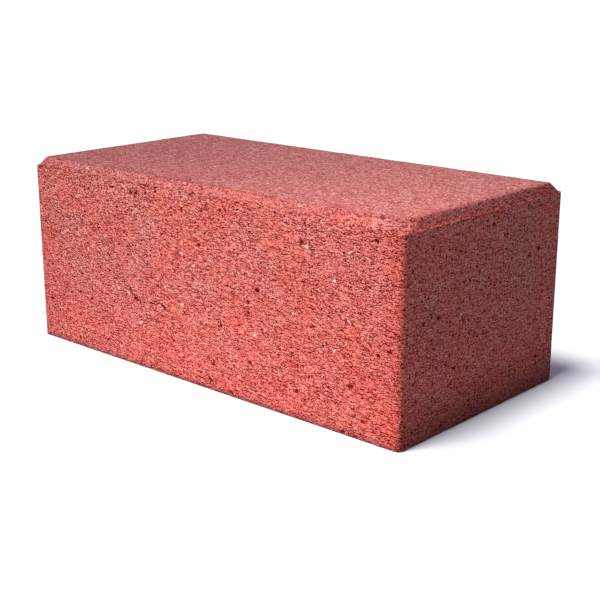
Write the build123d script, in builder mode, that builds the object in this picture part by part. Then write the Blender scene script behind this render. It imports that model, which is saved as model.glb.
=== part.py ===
"""A vibropressed concrete paving stone, 200 x 100 x 80 mm.

The stone is one solid. Its body is the cavity of a steel mould: a block with four
slightly rounded upright corners. A tamper shoe that is a little smaller than the
cavity presses the top, so the shoe leaves a narrow flat ledge all round, a steep
chamfer inside the ledge, and a flat wearing face with a softly rounded edge.

Frame: millimetres, +Z up, +X along the stone. The origin is the centre of the bed
face, the flat underside that the stone lies on.
"""

import os

from build123d import *

# The block that the mould forms.
LENGTH = 200.0
WIDTH = 100.0
HEIGHT = 80.0
CORNER_RADIUS = 2.6  # upright corners, from the mould's liner plates

# The head that the tamper shoe forms.
LEDGE_WIDTH = 0.9  # flat step between the block's side and the chamfer's foot
CHAMFER_RUN = 2.6  # how far the chamfer leans in
CHAMFER_RISE = 3.7  # how high the chamfer climbs
FACE_CORNER_RADIUS = 1.6  # the wearing face's corners, seen from above
FACE_EDGE_ROUNDING = 1.4  # between the chamfer and the wearing face

# What follows from them.
shoulder_height = HEIGHT - CHAMFER_RISE
face_inset = LEDGE_WIDTH + CHAMFER_RUN

with BuildPart() as paving_stone:
    # The block, up to the ledge.
    with BuildSketch() as footprint:
        RectangleRounded(LENGTH, WIDTH, CORNER_RADIUS)
    extrude(amount=shoulder_height)

    # The chamfered head, from its foot on the ledge to the wearing face.
    with BuildSketch(Plane.XY.offset(shoulder_height)) as chamfer_foot:
        offset(footprint.sketch, amount=-LEDGE_WIDTH)
    with BuildSketch(Plane.XY.offset(HEIGHT)) as wearing_face:
        RectangleRounded(LENGTH - 2 * face_inset, WIDTH - 2 * face_inset, FACE_CORNER_RADIUS)
    loft([chamfer_foot.sketch, wearing_face.sketch], ruled=True)

    # The rounding that grinding and tamping leave along the wearing face.
    top_edges = paving_stone.faces().sort_by(Axis.Z)[-1].edges()
    fillet(top_edges, radius=FACE_EDGE_ROUNDING)

paving_stone.part.label = "paving_stone"

os.makedirs("parts", exist_ok=True)
export_step(paving_stone.part, "parts/paving_stone.step")
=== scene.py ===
"""A red vibropressed concrete paving stone in a plain studio.

The stone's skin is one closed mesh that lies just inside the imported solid. Its pores,
worn edges and packed grains are real relief, down to about a millimetre. Finer grain
is bump and colour in the concrete's own material.

Units are metres. MM turns a size in millimetres into metres. +Z is up, +X runs along
the stone, and the origin is the centre of the face that the stone lies on.
"""

import itertools
import logging
import math
from collections.abc import Sequence
from dataclasses import dataclass, field
from enum import Enum

import bpy
import numpy as np
from mathutils import Matrix, Vector


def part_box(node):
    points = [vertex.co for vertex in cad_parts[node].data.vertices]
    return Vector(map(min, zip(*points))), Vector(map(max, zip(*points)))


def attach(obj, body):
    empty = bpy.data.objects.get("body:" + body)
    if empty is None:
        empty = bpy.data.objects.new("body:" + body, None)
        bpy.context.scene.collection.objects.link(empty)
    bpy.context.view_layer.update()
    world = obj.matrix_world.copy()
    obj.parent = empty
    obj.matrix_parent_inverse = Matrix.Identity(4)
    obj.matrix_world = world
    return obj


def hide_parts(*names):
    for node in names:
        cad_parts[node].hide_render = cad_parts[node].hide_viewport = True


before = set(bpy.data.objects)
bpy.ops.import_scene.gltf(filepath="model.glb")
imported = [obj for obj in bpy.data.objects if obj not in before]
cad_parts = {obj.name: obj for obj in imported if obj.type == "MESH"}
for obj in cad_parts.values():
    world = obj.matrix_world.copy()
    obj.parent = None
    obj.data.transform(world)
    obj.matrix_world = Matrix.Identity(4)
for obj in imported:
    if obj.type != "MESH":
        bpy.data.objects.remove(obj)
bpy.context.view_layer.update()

MM = 0.001
LOG = logging.getLogger("paving_stone")
Array = np.ndarray
Socket = bpy.types.NodeSocket
Pair = tuple[float, float]
Triple = tuple[float, float, float]

# Nearly all values of a noise texture lie between these two.
NOISE_RANGE = (0.3, 0.7)

# Makes a Mix node mix colours: input 0 is the share, and 6 and 7 are the colours.
COLOURS = {"data_type": "RGBA", "out": 2}
WHITE = "#FFFFFF"


def linear(hex_colour: str) -> tuple[float, float, float, float]:
    """Turn an sRGB hex colour into linear light.

    Args:
        hex_colour: a colour such as "#A4524A".

    Returns:
        Red, green, blue and an alpha of 1.
    """
    parts = [int(hex_colour[i : i + 2], 16) / 255 for i in (1, 3, 5)]
    light = [p / 12.92 if p <= 0.04045 else ((p + 0.055) / 1.055) ** 2.4 for p in parts]
    return (*light, 1.0)


@dataclass
class NodeSheet:
    """The nodes of one material."""

    tree: bpy.types.NodeTree

    def add(
        self,
        kind: str,
        inputs: Sequence[object] | dict[int | str, object] = (),
        operation: str = "",
        out: int | str = 0,
        **settings: object,
    ) -> Socket | None:
        """Add a shader node with its settings and links.

        Args:
            kind: the node's type without its first part, such as "Math" or "TexNoise".
            inputs: what they hold, in order or by name: an output, a value or a hex colour.
            operation: what a node of sums does.
            out: which output to give back.
            **settings: the node's own properties.

        Returns:
            The node's output, or None where it has none.
        """
        node = self.tree.nodes.new("ShaderNode" + kind)
        if operation:
            node.operation = operation
        for name, value in settings.items():
            setattr(node, name, value)
        named = inputs.items() if isinstance(inputs, dict) else enumerate(inputs)
        for name, value in named:
            if isinstance(value, Socket):
                self.tree.links.new(value, node.inputs[name])
            else:
                plain = linear(value) if isinstance(value, str) else value
                node.inputs[name].default_value = plain
        return node.outputs[out] if len(node.outputs) else None


@dataclass
class SolidNoise:
    """A smooth random field in space. It repeats after `cells` cells each way."""

    seed: int
    cells: int = 96
    lattice: Array = field(init=False, repr=False)

    def __post_init__(self) -> None:
        """Draw the values that the field passes through."""
        self.lattice = np.random.default_rng(self.seed).random((self.cells,) * 3)

    def at(self, points: Array, pitch: float) -> Array:
        """Read the field at some places.

        Args:
            points: places in metres, one row each.
            pitch: the distance between the values that were drawn, in metres.

        Returns:
            A value from 0 to 1 for each place.
        """
        place = points / pitch
        low = np.floor(place).astype(int)
        share = place - low
        share = share * share * (3 - 2 * share)
        total = np.zeros(len(points))
        for corner in itertools.product((0, 1), repeat=3):
            weight = np.prod(np.where(corner, share, 1 - share), axis=1)
            cell = (low + corner) % self.cells
            total += weight * self.lattice[cell[:, 0], cell[:, 1], cell[:, 2]]
        return total

    def fractal(self, points: Array, pitch: float, octaves: int) -> Array:
        """Add up finer and fainter copies of the field.

        Args:
            points: places in metres, one row each.
            pitch: the coarsest copy's pitch, in metres.
            octaves: how many copies, each half as coarse and half as strong.

        Returns:
            A value from about 0 to 1 for each place.
        """
        total = np.zeros(len(points))
        for octave in range(octaves):
            total += self.at(points + octave * pitch, pitch / 2**octave) / 2**octave
        return total / (2 - 2 ** (1 - octaves))


@dataclass
class PoreField:
    """Open pores, at most one in each cell of a jittered grid."""

    seed: int
    cell: float
    smallest: float
    largest: float
    flatness: float = 0.9  # how much wider than high the flattest pore is
    hollow: float = 0.95  # a pore's depth beside its radius
    table: int = 64
    draws: Array = field(init=False, repr=False)

    def __post_init__(self) -> None:
        """Draw each cell's pore: its place, size, flatness and whether it is there."""
        self.draws = np.random.default_rng(self.seed).random((self.table,) * 3 + (6,))

    def depth(self, points: Array, share: Array) -> Array:
        """Say how deep the pores are at some places.

        Args:
            points: places in metres, one row each.
            share: the share of cells near each place that hold a pore, from 0 to 1.

        Returns:
            The depth in metres, 0 outside the pores.
        """
        place = points / self.cell
        home = np.floor(place).astype(int)
        deepest = np.zeros(len(points))
        for step in itertools.product((-1, 0, 1), repeat=3):
            cell = home + step
            key = cell % self.table
            draw = self.draws[key[:, 0], key[:, 1], key[:, 2]]
            away = (place - cell - draw[:, :3]) * self.cell
            radius = self.smallest + (self.largest - self.smallest) * draw[:, 3] ** 2
            away[:, 2] *= 1.0 + self.flatness * draw[:, 4]
            inside = 1 - (away**2).sum(axis=1) / radius**2
            pore = self.hollow * radius * np.sqrt(np.clip(inside, 0, 1))
            deepest = np.maximum(deepest, np.where(draw[:, 5] < share, pore, 0))
        return deepest


@dataclass
class StoneForm:
    """The pressed stone's clean outline, and a fine closed grid over it."""

    low: Vector
    high: Vector
    corner_radius: float = 2.6 * MM
    ledge_width: float = 0.9 * MM
    chamfer_run: float = 2.6 * MM
    chamfer_rise: float = 3.7 * MM
    face_corner_radius: float = 1.6 * MM
    face_edge_rounding: float = 1.4 * MM
    worn_foot_radius: float = 6.0 * MM  # one corner of the chamfer is worn this round
    worn_head_radius: float = 11.0 * MM
    bed_edge_rounding: float = 0.4 * MM
    tamped_corner: float = 10.0 * MM  # the tamper shoe's flat has corners this round
    grid_step: float = 0.5 * MM
    arc_points: int = 9

    @property
    def half(self) -> tuple[float, float]:
        """Half the stone's length and half its width."""
        return (self.high.x - self.low.x) / 2, (self.high.y - self.low.y) / 2

    @property
    def height(self) -> float:
        """The stone's height."""
        return self.high.z - self.low.z

    @property
    def shoulder(self) -> float:
        """The height of the ledge."""
        return self.height - self.chamfer_rise

    @property
    def face_inset(self) -> float:
        """How far the flat of the wearing face starts in from the stone's side."""
        slope = math.atan2(self.chamfer_rise, self.chamfer_run)
        tangent = self.face_edge_rounding * math.tan(slope / 2)
        return self.ledge_width + self.chamfer_run + tangent

    def meridian(self) -> tuple[Array, Array]:
        """Follow the side's section from the bed face up to the wearing face.

        Returns:
            The inset from the side and the height, at even steps along the section.
        """
        slope = math.atan2(self.chamfer_rise, self.chamfer_run)
        bed = np.linspace(0, math.pi / 2, self.arc_points)
        crown = np.linspace(slope, 0, self.arc_points)
        inset = np.r_[
            self.bed_edge_rounding * (1 - np.sin(bed)),
            0.0,
            self.ledge_width,
            self.face_inset - self.face_edge_rounding * np.sin(crown),
        ]
        height = np.r_[
            self.bed_edge_rounding * (1 - np.cos(bed)),
            self.shoulder,
            self.shoulder,
            self.height - self.face_edge_rounding * (1 - np.cos(crown)),
        ]
        run = np.r_[0.0, np.cumsum(np.hypot(np.diff(inset), np.diff(height)))]
        even = np.linspace(0, run[-1], round(run[-1] / self.grid_step) + 1)
        return np.interp(even, run, inset), np.interp(even, run, height)

    def corner(self, inset: Array, worn: Array) -> Array:
        """Work out the upright corners' radius.

        Args:
            inset: how far in from the stone's side each point is.
            worn: whether each point is in the quarter with the worn corner.

        Returns:
            The radius at each point.
        """
        insets = (0.0, self.ledge_width, self.ledge_width + self.chamfer_run, self.face_inset)
        sunk = self.face_inset - self.ledge_width - self.chamfer_run
        crisp = (self.corner_radius - self.ledge_width, self.face_corner_radius)
        rubbed = (self.worn_foot_radius, self.worn_head_radius)
        crisp, rubbed = [
            np.interp(inset, insets, (self.corner_radius, foot, head, head - sunk))
            for foot, head in (crisp, rubbed)
        ]
        return np.where(worn, rubbed, crisp)

    def grid(self) -> tuple[Array, Array]:
        """Cover the whole outline with a closed grid of quads.

        Returns:
            The grid's points, one row each, and its quads, four point numbers each.
        """
        inset, height = self.meridian()
        counts = [round(2 * h / self.grid_step) for h in self.half]
        shape = (counts[0] + 1, counts[1] + 1, len(inset))
        skin = np.ones(shape, dtype=bool)
        skin[1:-1, 1:-1, 1:-1] = False
        number = np.full(shape, -1, dtype=np.int32)
        number[skin] = np.arange(np.count_nonzero(skin))
        i, j, level = np.nonzero(skin)
        reach = np.stack([h - inset[level] for h in self.half])
        place = np.stack([2 * step / count - 1 for step, count in zip((i, j), counts)]) * reach
        radius = self.corner(inset[level], (place[0] > 0) & (place[1] < 0))
        place = self.round_corners(place, reach, radius)
        # The second of two opposite sides has quads that run the other way round.
        sides = (
            (number[:, :, -1], number[:, :, 0]),
            (number[:, 0], number[:, -1]),
            (number[-1], number[0]),
        )
        quads = [self.quads(side)[:, ::turn] for pair in sides for side, turn in zip(pair, (1, -1))]
        return np.stack((*place, height[level]), axis=1), np.concatenate(quads)

    @staticmethod
    def quads(sheet: Array) -> Array:
        """Join a sheet of point numbers into quads.

        Args:
            sheet: the numbers of the points, in rows and columns.

        Returns:
            Four point numbers for each quad.
        """
        rings = (sheet[:-1, :-1], sheet[1:, :-1], sheet[1:, 1:], sheet[:-1, 1:])
        return np.stack(rings, axis=-1).reshape(-1, 4)

    @staticmethod
    def round_corners(place: Array, reach: Array, radius: Array) -> Array:
        """Pull the points of a rectangle into its rounded corners.

        Args:
            place: places along and across the stone.
            reach: how far the outline reaches each way at each point.
            radius: the outline's corner radius at each point.

        Returns:
            The new places.
        """
        share = np.clip((abs(place) - reach + radius) / radius, 0, None)
        pull = share.max(axis=0) / np.hypot(*share).clip(1e-9)
        rounded = np.sign(place) * (reach - radius + share * pull * radius)
        return np.where(share.min(axis=0) > 0, rounded, place)


@dataclass(frozen=True)
class Scar:
    """The shallow bed of a pebble that the mould pulled at, with a crack along its rim that is
    painted dark as the rim's shadow.
    """

    place: Triple
    reach: Triple
    open_side: Triple = (0.0, 0.0, 1.0)  # the way to the cracked rim, where the painted shadow lies
    sink: float = 0.20 * MM
    crack: float = 0.20 * MM  # half the crack's width
    rim_slope: float = 2.5
    foot_depth: float = 0.6  # the bed's middle beside its deepest part, higher up

    def depth(self, points: Array) -> Array:
        """Say how deep the bed is at some places.

        Args:
            points: places in metres, one row each.

        Returns:
            The depth in metres, 0 outside the bed.
        """
        away = (points - self.place) / self.reach
        gap = np.sqrt((away**2).sum(axis=1))
        bed = np.clip(self.rim_slope * (1 - gap), 0, 1)
        return self.sink * bed * np.clip(self.foot_depth + away[:, 2], 0, 1)


@dataclass
class Relief:
    """What the press leaves on the clean outline: packed grains, pores and worn edges."""

    form: StoneForm
    seed: int = 20
    swell_pitch: float = 9 * MM
    swell: float = 0.10 * MM
    grain_pitch: float = 1.7 * MM
    grain: float = 0.15 * MM
    flattening: float = 1.7  # the tamper packs grains this much wider than high
    face_share: float = 0.4  # the tamper shoe leaves the wearing face this rough beside the sides
    pore_share: float = 0.13
    crowded_share: float = 0.6
    crowd_pitch: float = 14 * MM  # pores crowd together in places this far apart
    void_share: float = 0.5
    void_depth: float = 0.8  # loose sand fills the voids' bottoms
    fray: float = 0.5 * MM
    fray_pitch: float = 1.1 * MM
    edge_reach: float = 1.6 * MM
    edge_loss: float = 0.5 * MM
    edge_pitch: float = 2.6 * MM
    ledge_share: float = 0.3  # the mould's rim leaves the ledge this rough beside the sides
    ledge_reach: float = 0.2 * MM
    shoe_fray: float = 2.4 * MM
    shoe_fray_pitch: float = 3.0 * MM
    shoe_fade: float = 1.2 * MM
    face_sink: float = 0.6 * MM
    scars: tuple[Scar, ...] = (
        # The two widest lie low on the long side.
        Scar((-22.5 * MM, -50 * MM, 25.4 * MM), (5.8 * MM, 3 * MM, 4.2 * MM), (0.25, 0, 1)),
        Scar((-33.0 * MM, -50 * MM, 33.0 * MM), (5.4 * MM, 3 * MM, 4.9 * MM), (-0.5, 0, -0.5)),
        # Two lie high up in its middle, and a small one above the widest.
        Scar((7.8 * MM, -50 * MM, 60.8 * MM), (3.0 * MM, 3 * MM, 2.4 * MM)),
        Scar((6.0 * MM, -50 * MM, 69.2 * MM), (3.2 * MM, 3 * MM, 2.2 * MM)),
        Scar((-27.0 * MM, -50 * MM, 43.6 * MM), (1.5 * MM, 3 * MM, 1.2 * MM)),
        # One lies on the end.
        Scar((100 * MM, 8.6 * MM, 66.0 * MM), (3 * MM, 3.2 * MM, 2.4 * MM), (0, 0.5, 1)),
    )

    def depth(self, points: Array) -> tuple[Array, Array]:
        """Work out how far each point sinks below the clean outline.

        Args:
            points: the outline's points, one row each.

        Returns:
            The whole depth of each point, and the part of it that is pore, in metres.
        """
        noise = SolidNoise(self.seed)
        packed = points * (1, 1, self.flattening)
        rough = 1 - (1 - self.face_share) * self.on_face(points, noise)
        swell = self.swell * noise.fractal(points, self.swell_pitch, 2)
        grain = self.grain * rough * noise.fractal(packed, self.grain_pitch, 3)
        # The noise is read elsewhere for each use, so that no two uses look alike.
        crowding = noise.at(points + 50 * MM, self.crowd_pitch) ** 2
        warp = self.fray * (noise.at(points + 300 * MM, self.fray_pitch) - 0.5)
        pores = PoreField(self.seed + 1, cell=3.2 * MM, smallest=0.35 * MM, largest=1.15 * MM)
        voids = PoreField(self.seed + 2, cell=9.0 * MM, smallest=0.8 * MM, largest=1.9 * MM)
        share = (self.pore_share + self.crowded_share * crowding) * rough**2
        pore = pores.depth(points + warp[:, None], share)
        void = voids.depth(points - 1.5 * warp[:, None], self.void_share * crowding * rough)
        holes = np.maximum(pore, self.void_depth * void)
        for scar in self.scars:
            swell = swell + scar.depth(points)
        chips = noise.fractal(points, self.edge_pitch, 3) ** 2
        worn = self.edge_loss * self.near_edge(points) * chips
        ledge = abs(points[:, 2] - self.form.shoulder) < self.ledge_reach
        worn, grain = np.where(ledge, self.ledge_share, 1) * (worn, grain)
        return swell + grain + holes + worn, holes

    def on_face(self, points: Array, noise: SolidNoise) -> Array:
        """Say how much each point is on the tamped wearing face.

        Args:
            points: the outline's points, one row each.
            noise: the field that frays the face's outline.

        Returns:
            A value from 0 to 1 for each point.
        """
        corner = self.form.tamped_corner
        flat_half = np.array(self.form.half) - self.form.face_inset - corner
        beyond = np.clip(abs(points[:, :2]) - flat_half, 0, None)
        fray = self.shoe_fray * (noise.fractal(points, self.shoe_fray_pitch, 2) - 0.5)
        inset = corner - np.hypot(*beyond.T) + fray
        flat = points[:, 2] > self.form.height - self.face_sink
        return np.where(flat, np.clip(0.5 + inset / self.shoe_fade, 0, 1), 0)

    def near_edge(self, points: Array) -> Array:
        """Say how near each point is to an edge of the stone.

        Args:
            points: the outline's points, one row each.

        Returns:
            A value from 0 to 1 for each point.
        """
        reach = np.array(self.form.half) - abs(points[:, :2])
        ends = np.stack((points[:, 2], abs(self.form.shoulder - points[:, 2])), axis=1)
        shaded_gaps = np.sort(np.concatenate((reach, ends), axis=1), axis=1)[:, :2].max(axis=1)
        return np.clip(1 - shaded_gaps / self.edge_reach, 0, 1) ** 2


@dataclass(frozen=True)
class ShadedGap:
    """One size of the dark gap under each grain: a dent, painted dark as the grain's shadow."""

    grain: float  # how far apart the grains are
    half_width: float
    depth: float = 1.0


@dataclass(frozen=True)
class Pit:
    """One size of round pits."""

    pitch: float
    largest: float  # a radius
    scarcity: float = 0.40  # the share of places that have no pit
    smallest: float = -0.04  # a radius beside the pitch; below 0, no pit
    rim: float = 0.08 * MM
    depth: float = 1.0
    flat: bool = False  # scattered on the flat plan


@dataclass(frozen=True)
class PressedConcrete:
    """Vibropressed concrete, coloured through with red iron oxide.

    The mix goes into the mould almost dry, so its surface is not a skin of cement but
    packed sand, each grain coated in red paste, with dark pores between the grains.
    The eye gets a matt, gritty red with pink lights and near-black specks, whose darkness is
    painted shade.
    """

    name: str = "vibropressed_red_concrete"
    tones: tuple[tuple[float, str], ...] = (
        (0.00, "#480201"),  # painted shade deep in a pore
        (0.12, "#680A06"),
        (0.27, "#881812"),
        (0.43, "#9F3830"),  # iron oxide in grey cement
        (0.59, "#AD4D45"),
        (0.75, "#B9635B"),
        (0.90, "#C47E76"),
        (1.00, "#D0A198"),  # a sand grain that the paste covers thinly
    )
    side_tone: float = 0.68
    face_tone: float = 0.73  # the tamper shoe presses it to a closer, lighter skin; part of the lift is painted light on the top
    # Painted light: the shaded end's tone is lifted, so it is a little paler.
    painted_end_lift: float = 0.03
    # Painted shade: pores, pits, gaps and cracks are drawn dark in the colour.
    painted_hole_shade: float = -0.75
    warm_grain: str = "#FFF0E2"  # yellow sand
    cool_grain: str = "#F4F2FF"  # grey sand
    face_bloom: str = "#B0666A"  # fine cement that the tamper draws up
    bloom_share: float = 0.20
    chamfer_bloom: float = 0.8  # beside the face's
    chamfer_fade: float = 1 * MM

    warm_tint: str = "#FFF1E7"  # patches rich in pigment
    lime_and_shade_tint: str = "#F4FDFF"  # patches with a bloom of lime, and the painted shade away from the near corner
    patch_pitch: float = 24 * MM
    patch_range: Pair = (0.36, 0.66)
    face_evenness: float = 0.75
    far_shade: float = 0.11  # painted shade: less red away from the near corner
    far_shade_range: Pair = (-110 * MM, -50 * MM)
    corner_tint: str = "#FBE6E5"  # the mould's corners gather paste
    corner_reach: float = 13 * MM
    corner_sides: Pair = (1 * MM, 4 * MM)  # the long sides' tint ends between these insets
    foot_tint: str = "#FFF7FA"  # redder towards the foot, less red and a little darker towards the head
    head_tint: str = "#F1FCFE"
    head_start: float = 0.75  # up the stone's height
    ledge_tint: str = "#F6D8D5"  # paste stays on the ends' ledges
    ledge_insets: Pair = (0.85 * MM, 0.55 * MM)  # the paste's middle and its reach
    ledge_heights: Pair = (-0.1 * MM, 0.45 * MM)
    foot_shade_tint: str = "#B9B4B5"  # painted shade at the foot, for the floor's contact shadow
    foot_shade_height: float = 3 * MM
    end_foot_shade_height: float = 20 * MM  # the painted shade reaches higher up the shaded end
    end_near_tint: str = "#F7FEFF"  # the shaded end is a little less red, and painted darker towards its far edge
    # Painted shade: less light bounces onto the end's far edge.
    end_far_shade_tint: str = "#ECF1F2"

    flattening: float = 1.6  # grains lie flat under the tamper
    # Dust and the finest sand would not show, so this stands for them too.
    grit_pitch: float = 0.44 * MM
    bare_play: float = 0.62  # how far apart in tone the grains are
    coated_play: float = 0.54  # the same towards the near corner, where paste covers them
    coating_range: Pair = (-10 * MM, 70 * MM)
    sand_pitch: float = 1.30 * MM
    side_sand: float = 0.06
    face_sand: float = 0.27  # coarser sand shows in the face
    crust_pitch: float = 0.60 * MM
    crust_play: float = 0.08

    # The dark gap under each grain is a dent, painted dark as the shadow of the grain above it.
    # Real gaps are about half as wide as these, which are the narrowest that show.
    shaded_gap_sizes: tuple[ShadedGap, ...] = (ShadedGap(1.8 * MM, 0.42 * MM), ShadedGap(1.1 * MM, 0.34 * MM, 0.9))
    shaded_gap_draws: Pair = (0.44, 0.58)  # a grain has no gap below the first, a whole one above
    shaded_gap_drop: Pair = (-0.05, -0.20)  # how far under its grain the painted shadow starts and is whole
    shaded_gap_fray: float = 0.7 * MM
    end_gap_shade: float = 0.6  # the painted shadow under grains is fainter on the shaded end
    pit_sizes: tuple[Pit, ...] = (Pit(3.0 * MM, 0.78 * MM), Pit(1.1 * MM, 0.42 * MM))
    pit_fray: float = 1.1 * MM
    pore_depth: float = 0.9
    face_holes: float = 0.7  # the shoe closes the face's pores
    end_pit: Pit = Pit(1.9 * MM, 0.65 * MM, 0.5, -0.02, depth=1.25, flat=True)
    fray_pitch: float = 0.9 * MM

    crack_pitch: float = 1.4 * MM
    crack_stray: float = 0.15
    crack_sides: Pair = (0.45, 0.60)  # how far to the open side a crack starts and is whole
    chip: Pit = Pit(6.5 * MM, 0.95 * MM, 0.45, rim=0.13 * MM, depth=0.85)
    chip_fray: float = 1.8 * MM
    chip_kinds: Pair = (0.35, 0.65)
    pale_chip: str = "#CDB0A4"  # broken quartz and lime
    mauve_chip: str = "#A27A84"  # broken granite

    shoe_fray: float = 1.2 * MM
    shoe_fray_pitch: float = 2.4 * MM
    shoe_fade: float = 2.2 * MM
    dome_pitch: float = 0.616 * MM
    dome: float = -0.7
    dent: float = -0.5
    relief: float = 0.22 * MM
    relief_share: float = 0.55
    pore_roughness: float = 0.96
    grain_roughness: float = 0.80  # open-grained cement
    rough_range: Pair = (0.2, 1.0)  # the tones of these two
    gloss: float = 0.12  # open pores trap most of the shine
    ior: float = 1.5  # cement paste and quartz

    def build(self, form: StoneForm, scars: tuple[Scar, ...]) -> bpy.types.Material:
        """Make the concrete's material.

        Args:
            form: the stone's clean outline.
            scars: the pebbles' beds, each with a crack painted dark as its rim's shadow.

        Returns:
            The material, ready for the stone's mesh.
        """
        material = bpy.data.materials.new(self.name)
        material.use_nodes = True
        material.node_tree.nodes.clear()
        ConcreteSkin(self, form, scars, NodeSheet(material.node_tree)).build()
        return material


@dataclass
class ConcreteSkin:
    """The layers of the concrete's surface, as nodes on one sheet.

    Attributes:
        spot: the place on the stone, which along, across and height split up.
        from_end, from_side: how far in it is from the nearer end and long side.
        packed: the place, with heights drawn out as the grains are pressed.
        ragged: fine noise that frays outlines.
        face, end: how much it is on the tamped face and on the shaded end.
        plan: the place with each side laid out flat.
    """

    mix: PressedConcrete
    form: StoneForm
    scars: tuple[Scar, ...]
    sheet: NodeSheet

    def __post_init__(self) -> None:
        """Say where on the stone a place lies."""
        add, mix = self.sheet.add, self.mix
        self.spot: Socket = add("TexCoord", out="Object")
        place = add("SeparateXYZ", (self.spot,))
        self.along, self.across, self.height = place.node.outputs
        inset = add("VectorMath", (self.spot,), "ABSOLUTE")
        inset = add("VectorMath", ((*self.form.half, 0), inset), "SUBTRACT")
        inset = add("SeparateXYZ", (inset,))
        self.from_end, self.from_side, _ = inset.node.outputs
        self.packed: Socket = add("VectorMath", (self.spot, (1, 1, mix.flattening)), "MULTIPLY")
        ragged = {"Vector": self.packed, "Scale": 1 / mix.fray_pitch, "Detail": 1.0}
        self.ragged: Socket = add("TexNoise", ragged, out="Color")
        self.face = self.on_face()
        far = self.form.half[0]
        self.end: Socket = add("MapRange", (self.along, far - 1.4 * MM, far - 0.6 * MM))
        self.plan = self.lay_flat()

    def build(self) -> None:
        """Lay the layers over each other, and wire them to the shader."""
        mix = self.mix
        holes = self.holes()
        tone, grain = self.grains(holes)
        smooth = (tone, *mix.rough_range, mix.pore_roughness, mix.grain_roughness)
        finish = {
            "Base Color": self.chips(self.tints(self.colour(tone, grain))),
            "Roughness": self.sheet.add("MapRange", smooth),
            "Normal": self.bump(tone, holes),
            "IOR": mix.ior,
            "Specular IOR Level": mix.gloss,
        }
        shader = self.sheet.add("BsdfPrincipled", finish)
        self.sheet.add("OutputMaterial", {"Surface": shader})

    def on_face(self) -> Socket:
        """Say how much a place is on the tamped wearing face.

        Returns:
            A value from 0 to 1.
        """
        add, mix, corner = self.sheet.add, self.mix, self.form.tamped_corner
        margin = self.form.face_inset + corner
        flat = (self.form.half[0] - margin, self.form.half[1] - margin, 1.0)
        away = add("VectorMath", (self.spot,), "ABSOLUTE")
        away = add("VectorMath", (away, flat), "SUBTRACT")
        away = add("VectorMath", (away, (0, 0, 0)), "MAXIMUM")
        away = add("VectorMath", (away,), "LENGTH", out="Value")
        fray = {"Vector": self.spot, "Scale": 1 / mix.shoe_fray_pitch, "Detail": 2.0}
        fray = (add("TexNoise", fray), *NOISE_RANGE, -mix.shoe_fray, mix.shoe_fray)
        away = add("Math", (away, add("MapRange", fray)), "ADD")
        inner = add("MapRange", (away, corner - mix.shoe_fade, corner, 1, 0))
        top = self.form.height
        level = add("MapRange", (self.height, top - 1.1 * MM, top - 0.6 * MM))
        return add("Math", (inner, level), "MULTIPLY")

    def lay_flat(self) -> Socket:
        """Lay each side out flat, so that no gap or pit is cut slantwise.

        Returns:
            The place on the flat plan, a little frayed.
        """
        add = self.sheet.add
        middle = self.form.height / 2
        on_wall = add("Math", (self.height, middle, middle - 0.4 * MM), "COMPARE")
        along = add("VectorMath", (self.spot, (1, 1, 0)), "DOT_PRODUCT", out="Value")
        up = add("Math", (self.height, self.mix.flattening), "MULTIPLY")
        flat = {0: on_wall, 4: self.spot, 5: add("CombineXYZ", (along, up))}
        flat = add("Mix", flat, data_type="VECTOR", out=1)
        return self.frayed(flat, self.mix.shaded_gap_fray)

    def frayed(self, place: Socket, reach: float) -> Socket:
        """Shift a place by fine noise, so that what is drawn there has a ragged outline."""
        shift = (self.ragged, (reach,) * 3, place)
        return self.sheet.add("VectorMath", shift, "MULTIPLY_ADD")

    def shaded_gaps(self) -> Socket:
        """Open a dark gap under some of the grains: a dent, painted dark as the grain's shadow.

        Returns:
            How much of a place is a gap, from 0 to 1.
        """
        add, mix = self.sheet.add, self.mix
        flat = {"voronoi_dimensions": "2D"}
        shaded_gaps: Socket | float = 0.0
        for size in mix.shaded_gap_sizes:
            near = {"Vector": self.plan, "Scale": 1 / size.grain}
            edge = add("TexVoronoi", near, feature="DISTANCE_TO_EDGE", **flat)
            width = size.half_width / size.grain
            seam = add("MapRange", (edge, 0.5 * width, width, size.depth, 0.0))
            centre = add("TexVoronoi", near, out="Position", **flat)
            draws = add("SeparateColor", (centre.node.outputs["Color"],))
            there = add("MapRange", (draws, *mix.shaded_gap_draws))
            # The gap lies only below its grain, where the painted shadow falls.
            under = add("VectorMath", (self.plan, centre), "SUBTRACT")
            under = add("SeparateXYZ", (under,), out="Y")
            under = add("MapRange", (under, *(drop * size.grain for drop in mix.shaded_gap_drop)))
            gap = add("Math", (seam, there), "MULTIPLY")
            gap = add("Math", (gap, under), "MULTIPLY")
            shaded_gaps = add("Math", (gap, shaded_gaps), "MAXIMUM")
        end_gap_fade = add("MapRange", (self.end, 0.0, 1.0, 1.0, mix.end_gap_shade))
        return add("Math", (shaded_gaps, end_gap_fade), "MULTIPLY")

    def pits(self, place: Socket, pit: Pit) -> tuple[Socket, Socket]:
        """Open round pits of one size.

        Args:
            place: the place on the stone or on the flat plan.
            pit: the pits' size, number and depth.

        Returns:
            How deep the place is in a pit, from 0, and a random value for each pit.
        """
        add = self.sheet.add
        near = {"Vector": place, "Scale": 1 / pit.pitch}
        spread = "2D" if pit.flat else "3D"
        away = add("TexVoronoi", near, out="Distance", voronoi_dimensions=spread)
        draws = add("SeparateColor", (away.node.outputs["Color"],))
        size = (draws, pit.scarcity, 1.0, pit.smallest, pit.largest / pit.pitch)
        size = add("MapRange", size, clamp=False)
        inside = add("Math", (size, away), "SUBTRACT")
        depth = add("MapRange", (inside, 0.0, pit.rim / pit.pitch, 0.0, pit.depth))
        return depth, draws.node.outputs["Green"]

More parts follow.
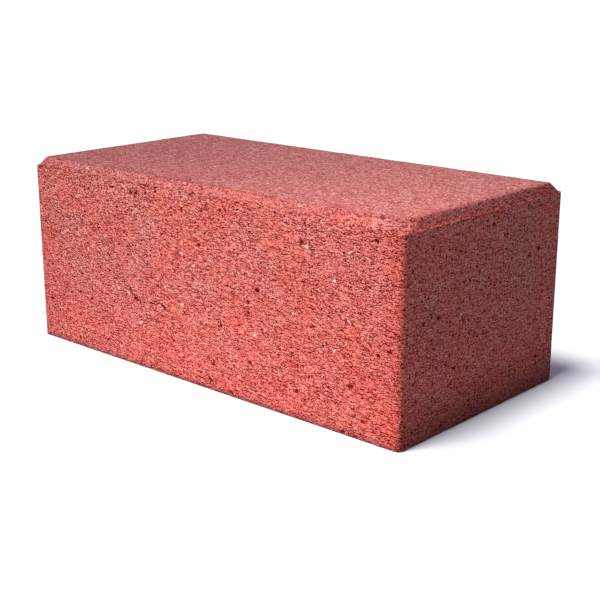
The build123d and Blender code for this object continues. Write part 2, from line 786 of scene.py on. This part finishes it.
    def holes(self) -> Socket:
        """Put together the gap under grains, the pits, the pores and each scar's crack, which the
        colour paints dark as shade.

        Returns:
            How much of a place is open, from 0.
        """
        add, mix = self.sheet.add, self.mix
        holes = self.shaded_gaps()
        frayed = self.frayed(self.packed, mix.pit_fray)
        for pit in mix.pit_sizes:
            holes = add("Math", (holes, self.pits(frayed, pit)[0]), "MAXIMUM")
        pore = add("Attribute", attribute_name="pore", out="Fac")
        holes = add("Math", (pore, mix.pore_depth, holes), "MULTIPLY_ADD")
        closed = add("MapRange", (self.face, 0.0, 1.0, 1.0, mix.face_holes))
        holes = add("Math", (holes, closed), "MULTIPLY")
        # Pits in space are seldom cut in half, so the end's round ones lie on it.
        end_pits = add("Math", (self.pits(self.plan, mix.end_pit)[0], self.end), "MULTIPLY")
        holes = add("Math", (holes, end_pits), "MAXIMUM")
        return add("Math", (holes, self.shaded_cracks()), "ADD")

    def shaded_cracks(self) -> Socket | float:
        """Draw the fine crack along one side of each scar's rim, which the colour paints dark as
        the rim's shadow.

        Returns:
            1 in a crack and 0 elsewhere.
        """
        add, mix = self.sheet.add, self.mix
        bends = {"Vector": self.spot, "Scale": 1 / mix.crack_pitch, "Detail": 0.0}
        stray = (add("TexNoise", bends), *NOISE_RANGE, -mix.crack_stray, mix.crack_stray)
        stray = add("MapRange", stray)
        shaded_cracks = 0.0
        for scar in self.scars:
            away = add("VectorMath", (self.spot, scar.place), "SUBTRACT")
            away = add("VectorMath", (away, scar.reach), "DIVIDE")
            gap = add("VectorMath", (away,), "LENGTH", out="Value")
            gap = add("Math", (gap, stray), "ADD")
            width = scar.crack / min(scar.reach)
            rim = add("Math", (gap, 1.0, width), "COMPARE")
            side = add("VectorMath", (away, scar.open_side), "DOT_PRODUCT", out="Value")
            side = add("MapRange", (side, *mix.crack_sides))
            shaded_cracks = add("Math", (rim, side, shaded_cracks), "MULTIPLY_ADD")
        return shaded_cracks

    def grains(self, holes: Socket) -> tuple[Socket, Socket]:
        """Give each grain its own tone.

        Args:
            holes: how much of the place is open.

        Returns:
            The tone, from 0 in a pore to 1 on a bare grain, and a random value for each grain.
        """
        add, mix = self.sheet.add, self.mix
        fine = {"Vector": self.packed, "Scale": 1 / mix.grit_pitch}
        grit = add("SeparateColor", (add("TexVoronoi", fine, out="Color"),))
        coarse = {"Vector": self.packed, "Scale": 1 / mix.sand_pitch}
        sand = add("SeparateColor", (add("TexVoronoi", coarse, out="Color"),))
        crust = {"Vector": self.packed, "Scale": 1 / mix.crust_pitch}
        crust = add("TexNoise", {**crust, "Detail": 2.0, "Roughness": 0.6})
        sandy = add("MapRange", (self.face, 0.0, 1.0, mix.side_sand, mix.face_sand))
        sand_part = add("Math", (sand, 0.5), "SUBTRACT")
        gritty = (self.along, *mix.coating_range, mix.bare_play, mix.coated_play)
        bare = add("Math", (self.face, mix.bare_play), "MULTIPLY")
        gritty = add("Math", (add("MapRange", gritty), bare), "MAXIMUM")
        grit_part = add("Math", (grit, 0.5), "SUBTRACT")
        parts = (
            add("Math", (grit_part, gritty), "MULTIPLY"),
            add("Math", (self.end, mix.painted_end_lift), "MULTIPLY"),
            add("Math", (sand_part, sandy), "MULTIPLY"),
            add("MapRange", (crust, *NOISE_RANGE, -mix.crust_play, mix.crust_play)),
            add("Math", (holes, mix.painted_hole_shade), "MULTIPLY"),
        )
        tone = add("MapRange", (self.face, 0.0, 1.0, mix.side_tone, mix.face_tone))
        for part in parts:
            tone = add("Math", (tone, part), "ADD")
        return tone, grit.node.outputs["Green"]

    def colour(self, tone: Socket, grain: Socket) -> Socket:
        """Turn tone into the concrete's colours, and veil what the tamper shoe touched.

        Args:
            tone: the fine play of grains and pores.
            grain: a random value for each grain.

        Returns:
            The colour.
        """
        add, mix = self.sheet.add, self.mix
        shade = add("ValToRGB", (tone,))
        stops = shade.node.color_ramp.elements
        while len(stops) < len(mix.tones):
            stops.new(0.5)
        for stop, (position, hue) in zip(stops, mix.tones):
            stop.position = position
            stop.color = linear(hue)
        cast = {0: grain, 6: mix.warm_grain, 7: mix.cool_grain}
        cast = add("Mix", cast, **COLOURS)
        grains = add("Mix", {0: 1.0, 6: shade, 7: cast}, blend_type="MULTIPLY", **COLOURS)
        foot = self.form.shoulder
        chamfer = (self.height, foot, foot + mix.chamfer_fade, 0.0, mix.chamfer_bloom)
        chamfer = add("MapRange", chamfer)
        shod = add("Math", (chamfer, self.face), "MAXIMUM")
        veil = add("Math", (shod, mix.bloom_share), "MULTIPLY")
        return add("Mix", {0: veil, 6: grains, 7: mix.face_bloom}, **COLOURS)

    def patches(self) -> Socket:
        """Say how much lime has bloomed in broad patches, which are fainter on the face, plus a
        painted shade away from the near corner.

        Returns:
            A value from 0 to 1.
        """
        add, mix = self.sheet.add, self.mix
        clouds = {"Vector": self.spot, "Scale": 1 / mix.patch_pitch, "Detail": 3.0}
        # Painted shade: the patches turn cooler, so less red, away from the near corner.
        far = add("VectorMath", (self.spot, (-1, 2, 0)), "DOT_PRODUCT", out="Value")
        far_shade = add("MapRange", (far, *mix.far_shade_range, 0.0, mix.far_shade))
        patches = add("Math", (add("TexNoise", clouds), far_shade), "ADD")
        patches = add("MapRange", (patches, *mix.patch_range))
        even = add("Math", (self.face, mix.face_evenness), "MULTIPLY")
        return add("Mix", {0: even, 2: patches, 3: 0.5}, data_type="FLOAT")

    def tints(self, colour: Socket) -> Socket:
        """Lay the patches, the paste at corners and ledges, and the painted shade at the foot and
        along the end over a colour.

        Args:
            colour: the colour so far.

        Returns:
            The new colour.
        """
        add, mix, form = self.sheet.add, self.mix, self.form
        on_side = add("MapRange", (self.from_side, *mix.corner_sides, 1.0, 0.0))
        corner = add("MapRange", (self.from_end, 0.0, mix.corner_reach, on_side, 0.0))
        climb = add("MapRange", (self.height, 0.0, mix.head_start * form.height))
        middle, reach = mix.ledge_heights
        level = add("Math", (self.height, form.shoulder + middle, reach), "COMPARE")
        inset = add("Math", (self.from_end, *mix.ledge_insets), "COMPARE")
        ledge = add("Math", (level, inset), "MULTIPLY")
        # Painted shade: darker at the foot, and higher up on the shaded end.
        foot_shade_reach = add("MapRange", (self.end, 0.0, 1.0, mix.foot_shade_height, mix.end_foot_shade_height))
        clear_of_foot_shade = add("Math", (self.height, foot_shade_reach), "DIVIDE")
        clear_of_foot_shade = add("MapRange", (clear_of_foot_shade, 0.0, 1.0))
        # Painted shade along the end, darker towards its far edge.
        across = add("MapRange", (self.across, -form.half[1], form.half[1]))
        end_shading = {0: across, 6: mix.end_near_tint, 7: mix.end_far_shade_tint}
        layers = (
            (self.patches(), mix.warm_tint, mix.lime_and_shade_tint),
            (corner, WHITE, mix.corner_tint),
            (climb, mix.foot_tint, mix.head_tint),
            (ledge, WHITE, mix.ledge_tint),
            (clear_of_foot_shade, mix.foot_shade_tint, WHITE),
            (self.end, WHITE, add("Mix", end_shading, **COLOURS)),
        )
        for share, first, last in layers:
            tint = add("Mix", {0: share, 6: first, 7: last}, **COLOURS)
            over = {0: 1.0, 6: colour, 7: tint}
            colour = add("Mix", over, blend_type="MULTIPLY", **COLOURS)
        return colour

    def chips(self, colour: Socket) -> Socket:
        """Scatter broken bits of stone that the paste leaves bare.

        Args:
            colour: the colour so far.

        Returns:
            The new colour.
        """
        add, mix = self.sheet.add, self.mix
        chip, draw = self.pits(self.frayed(self.packed, mix.chip_fray), mix.chip)
        kind = add("MapRange", (draw, *mix.chip_kinds))
        stone = {0: kind, 6: mix.mauve_chip, 7: mix.pale_chip}
        bare = add("Mix", stone, **COLOURS)
        return add("Mix", {0: chip, 6: colour, 7: bare}, **COLOURS)

    def bump(self, tone: Socket, holes: Socket) -> Socket:
        """Round the grains and sink the pores.

        Args:
            tone: the fine play of grains and pores.
            holes: how much of the place is open.

        Returns:
            The surface's normal.
        """
        add, mix = self.sheet.add, self.mix
        fine = {"Vector": self.packed, "Scale": 1 / mix.dome_pitch}
        away = add("TexVoronoi", fine, out="Distance")
        level = add("Math", (away, mix.dome, tone), "MULTIPLY_ADD")
        level = add("Math", (holes, mix.dent, level), "MULTIPLY_ADD")
        dents = {"Height": level, "Distance": mix.relief, "Strength": mix.relief_share}
        return add("Bump", dents)


class Sheet(Enum):
    """Where each side of the stone lies on its flat pattern, in millimetres.

    Each value holds the left and the lower edge, and whether it lies turned.
    """

    TOP = (0, 0, False)
    BED = (203, 0, True)
    FRONT = (0, 103, False)
    BACK = (0, 189, False)
    RIGHT = (203, 203, False)
    LEFT = (0, 275, False)


@dataclass
class PavingStone:
    """The stone: one closed mesh in one material."""

    form: StoneForm
    relief: Relief
    finish: PressedConcrete
    triangles: int = 190_000
    pattern_size: Pair = (306 * MM, 361 * MM)
    head_slant: float = 0.7  # how much the ledge and chamfer are drawn out on the pattern
    name: str = "red_paving_stone"

    def build(self) -> bpy.types.Object:
        """Make the stone's skin, set it on the frame and dress it.

        Returns:
            The stone's object.
        """
        points, quads = self.form.grid()
        mesh = bpy.data.meshes.new(self.name)
        mesh.from_pydata(points, [], quads)
        self.press(mesh, points)
        stone = bpy.data.objects.new(self.name, mesh)
        bpy.context.scene.collection.objects.link(stone)
        self.thin(stone, len(quads))
        self.lay_pattern(stone.data)
        stone.data.shade_smooth()
        stone.data.materials.append(self.finish.build(self.form, self.relief.scars))
        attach(stone, "root")
        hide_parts("paving_stone")
        LOG.info("%s: %d triangles", stone.name, len(stone.data.polygons))
        return stone

    def press(self, mesh: bpy.types.Mesh, points: Array) -> None:
        """Sink the mesh below the clean outline by its relief, and keep the pores' depth.

        Args:
            mesh: the grid's mesh.
            points: the grid's points.
        """
        normals = np.empty(len(points) * 3, dtype=np.float32)
        mesh.vertex_normals.foreach_get("vector", normals)
        depth, pores = self.relief.depth(points)
        moved = points - normals.reshape(-1, 3) * depth[:, None]
        mesh.vertices.foreach_set("co", moved.ravel())
        kept = mesh.attributes.new("pore", "FLOAT", "POINT")
        kept.data.foreach_set("value", np.clip(pores / MM, 0, 1).astype(np.float32))
        mesh.update()

    def thin(self, stone: bpy.types.Object, quads: int) -> None:
        """Merge the grid's triangles where it is nearly flat.

        Args:
            stone: the stone's object.
            quads: how many quads it has.
        """
        thinner = stone.modifiers.new("thin", "DECIMATE")
        thinner.ratio = self.triangles / (2 * quads)
        thinner.use_collapse_triangulate = True
        ready = stone.evaluated_get(bpy.context.evaluated_depsgraph_get())
        dense = stone.data
        stone.data = bpy.data.meshes.new_from_object(ready)
        stone.modifiers.clear()
        bpy.data.meshes.remove(dense)
        stone.data.name = self.name

    def lay_pattern(self, mesh: bpy.types.Mesh) -> None:
        """Lay the six sides out flat, as a map for the finish.

        Args:
            mesh: the stone's mesh, all of triangles.
        """
        count = len(mesh.polygons)
        corners = np.empty(count * 3, dtype=np.int32)
        mesh.polygons.foreach_get("vertices", corners)
        co = np.empty(len(mesh.vertices) * 3)
        mesh.vertices.foreach_get("co", co)
        co = co.reshape(-1, 3)
        triangle = co[corners].reshape(count, 3, 3)
        side = self.sides(triangle.mean(axis=1))
        flat = np.zeros((count, 3, 2))
        for number, sheet in enumerate(Sheet):
            mine = side == number
            flat[mine] = self.unfold(triangle[mine], sheet)
        layer = mesh.uv_layers.new(name="OFBake")
        layer.uv.foreach_set("vector", (flat / self.pattern_size).astype(np.float32).ravel())

    def sides(self, middles: Array) -> Array:
        """Say which side each triangle belongs to.

        Args:
            middles: the triangles' middles.

        Returns:
            For each triangle, its side's number in the order of Sheet.
        """
        x, y, z = middles.T
        reach = self.form.half
        walls = np.stack((reach[1] + y, reach[1] - y, reach[0] - x, reach[0] + x))
        inset = walls.min(axis=0)
        top = (z > self.form.height - 2 * MM) & (inset > self.form.face_inset - 0.5 * MM)
        bed = (z < 2 * MM) & (inset > z)
        # The walls come third to sixth in Sheet, in the same order as here.
        return np.select((top, bed), (0, 1), 2 + walls.argmin(axis=0))

    def unfold(self, triangle: Array, sheet: Sheet) -> Array:
        """Put a side's triangles on the flat pattern.

        Args:
            triangle: the triangles' corners.
            sheet: the side that they belong to.

        Returns:
            Each corner's place on the pattern, in metres.
        """
        x, y, z = np.moveaxis(triangle, -1, 0)
        reach = self.form.half
        across = {
            Sheet.TOP: (x, y, reach),
            Sheet.BED: (x, -y, reach),
            Sheet.FRONT: (x, y + reach[1], reach),
            Sheet.BACK: (-x, reach[1] - y, reach),
            Sheet.RIGHT: (y, reach[0] - x, reach[::-1]),
            Sheet.LEFT: (-y, reach[0] + x, reach[::-1]),
        }
        along, other, half = across[sheet]
        if sheet in (Sheet.TOP, Sheet.BED):
            up = other + half[1]
        else:
            head = z > self.form.shoulder - 0.4 * MM
            up = z + self.head_slant * np.where(head, other, 0)
        left, lower, turned = sheet.value
        place = (along + half[0], up)
        if turned:
            place = (up, along + half[0])
        return np.stack((place[0] + left * MM, place[1] + lower * MM), axis=-1)


class LampKind(Enum):
    """Whether a lamp is far from the stone or near it."""

    FAR = "SUN"
    NEAR = "POINT"


class Lit(Enum):
    """What a lamp lights."""

    STONE = "lit_stone"
    FLOOR = "lit_floor"


@dataclass(frozen=True)
class Lamp:
    """A soft lamp."""

    name: str
    kind: LampKind
    place: Triple  # for a far lamp, the way to it
    strength: float  # in watts, or for a far lamp in watts a square metre
    spread: float  # its radius, or for a far lamp how wide it looks, in degrees
    lit: Lit = Lit.STONE
    shade: str = WHITE
    shadows: bool = True

    def hang(self, receivers: bpy.types.Collection) -> None:
        """Hang the lamp.

        Args:
            receivers: what it lights.
        """
        light = bpy.data.lights.new(self.name, self.kind.value)
        light.energy = self.strength
        light.color = linear(self.shade)[:3]
        light.use_shadow = self.shadows
        lamp = bpy.data.objects.new(self.name, light)
        lamp.light_linking.receiver_collection = receivers
        if self.kind is LampKind.FAR:
            light.angle = math.radians(self.spread)
            lamp.rotation_euler = Vector(self.place).to_track_quat("Z", "Y").to_euler()
        else:
            light.shadow_soft_size = self.spread
            lamp.location = self.place
            lamp.visible_camera = False
        bpy.context.scene.collection.objects.link(lamp)


@dataclass
class Studio:
    """A plain white floor, soft lights and the camera."""

    floor_side: float = 40.0
    floor_shade: str = "#E9E9EA"
    air_shade: str = "#CDD8FF"
    air_strength: float = 0.16
    lamps: tuple[Lamp, ...] = (
        Lamp("key", LampKind.FAR, (-0.67, -1.58, 1.0), 5.0, 8.0),
        Lamp("floor_wash", LampKind.FAR, (-0.09, -0.34, 1.0), 3.68, 17.7, Lit.FLOOR),
        # The fill casts no shadow, and so lights and tints the shadow that the wash leaves.
        Lamp("floor_fill", LampKind.FAR, (0.0, 0.0, 1.0), 0.31, 10.0, Lit.FLOOR, "#E4DDFF", False),
        Lamp("back_fill", LampKind.FAR, (-0.6, 0.95, 0.35), 1.2, 30.0),
        Lamp("corner_glow", LampKind.NEAR, (92 * MM, -70 * MM, 215 * MM), 0.95, 40 * MM),
        Lamp("sill_glow", LampKind.NEAR, (14 * MM, -180 * MM, 8 * MM), 0.68, 40 * MM),
    )
    azimuth: float = 42.12  # degrees round from the long side towards the end
    elevation: float = 16.25  # degrees above the floor
    distance: float = 503.673 * MM
    aside: float = 6.794 * MM
    above: float = 23.337 * MM
    lens: float = 71.19  # millimetres, on a sensor 36 mm wide
    sensor: float = 36.0

    def build(self, stone: bpy.types.Object) -> None:
        """Set the floor, the light and the camera round the stone.

        Args:
            stone: the stone's object.
        """
        things = {Lit.STONE: stone, Lit.FLOOR: self.lay_floor()}
        self.fill_air()
        self.shine(things)
        self.aim_camera()

    def lay_floor(self) -> bpy.types.Object:
        """Lay the floor under the stone.

        Returns:
            The floor's object.
        """
        half = self.floor_side / 2
        corners = [(-half, -half, 0), (half, -half, 0), (half, half, 0), (-half, half, 0)]
        mesh = bpy.data.meshes.new("floor")
        mesh.from_pydata(corners, [], [(0, 1, 2, 3)])
        floor = bpy.data.objects.new("floor", mesh)
        bpy.context.scene.collection.objects.link(floor)
        material = bpy.data.materials.new("matt_paper")
        material.use_nodes = True
        inputs = material.node_tree.nodes["Principled BSDF"].inputs
        inputs["Base Color"].default_value = linear(self.floor_shade)
        inputs["Roughness"].default_value = 1.0
        inputs["Specular IOR Level"].default_value = 0.0
        mesh.materials.append(material)
        return floor

    def fill_air(self) -> None:
        """Give the room its soft, faintly blue light."""
        world = bpy.data.worlds.new("air")
        world.use_nodes = True
        sky = world.node_tree.nodes["Background"]
        sky.inputs["Color"].default_value = linear(self.air_shade)
        sky.inputs["Strength"].default_value = self.air_strength
        bpy.context.scene.world = world

    def shine(self, things: dict[Lit, bpy.types.Object]) -> None:
        """Hang the lamps.

        Args:
            things: the stone and the floor.
        """
        receivers = {}
        for lit, thing in things.items():
            receivers[lit] = bpy.data.collections.new(lit.value)
            receivers[lit].objects.link(thing)
        for lamp in self.lamps:
            lamp.hang(receivers[lamp.lit])

    def aim_camera(self) -> None:
        """Put the camera at the picture's viewing angle."""
        turn, rise = math.radians(self.azimuth), math.radians(self.elevation)
        flat = math.cos(rise)
        back = Vector((math.sin(turn) * flat, -math.cos(turn) * flat, math.sin(rise)))
        right = Vector((math.cos(turn), math.sin(turn), 0))
        up = back.cross(right)
        data = bpy.data.cameras.new("camera")
        data.lens = self.lens
        data.sensor_width = self.sensor
        data.clip_start = 10 * MM
        camera = bpy.data.objects.new("camera", data)
        spot = back * self.distance + right * self.aside + up * self.above
        turned = Matrix((right, up, back)).transposed().to_4x4()
        camera.matrix_world = Matrix.Translation(spot) @ turned
        bpy.context.scene.collection.objects.link(camera)
        bpy.context.scene.camera = camera


def main() -> None:
    """Build the stone and its studio."""
    logging.basicConfig(level=logging.INFO, format="%(name)s: %(message)s")
    form = StoneForm(*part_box("paving_stone"))
    stone = PavingStone(form, Relief(form), PressedConcrete()).build()
    Studio().build(stone)
    bpy.context.scene.view_settings.view_transform = "Standard"


if __name__ == "__main__":
    main()
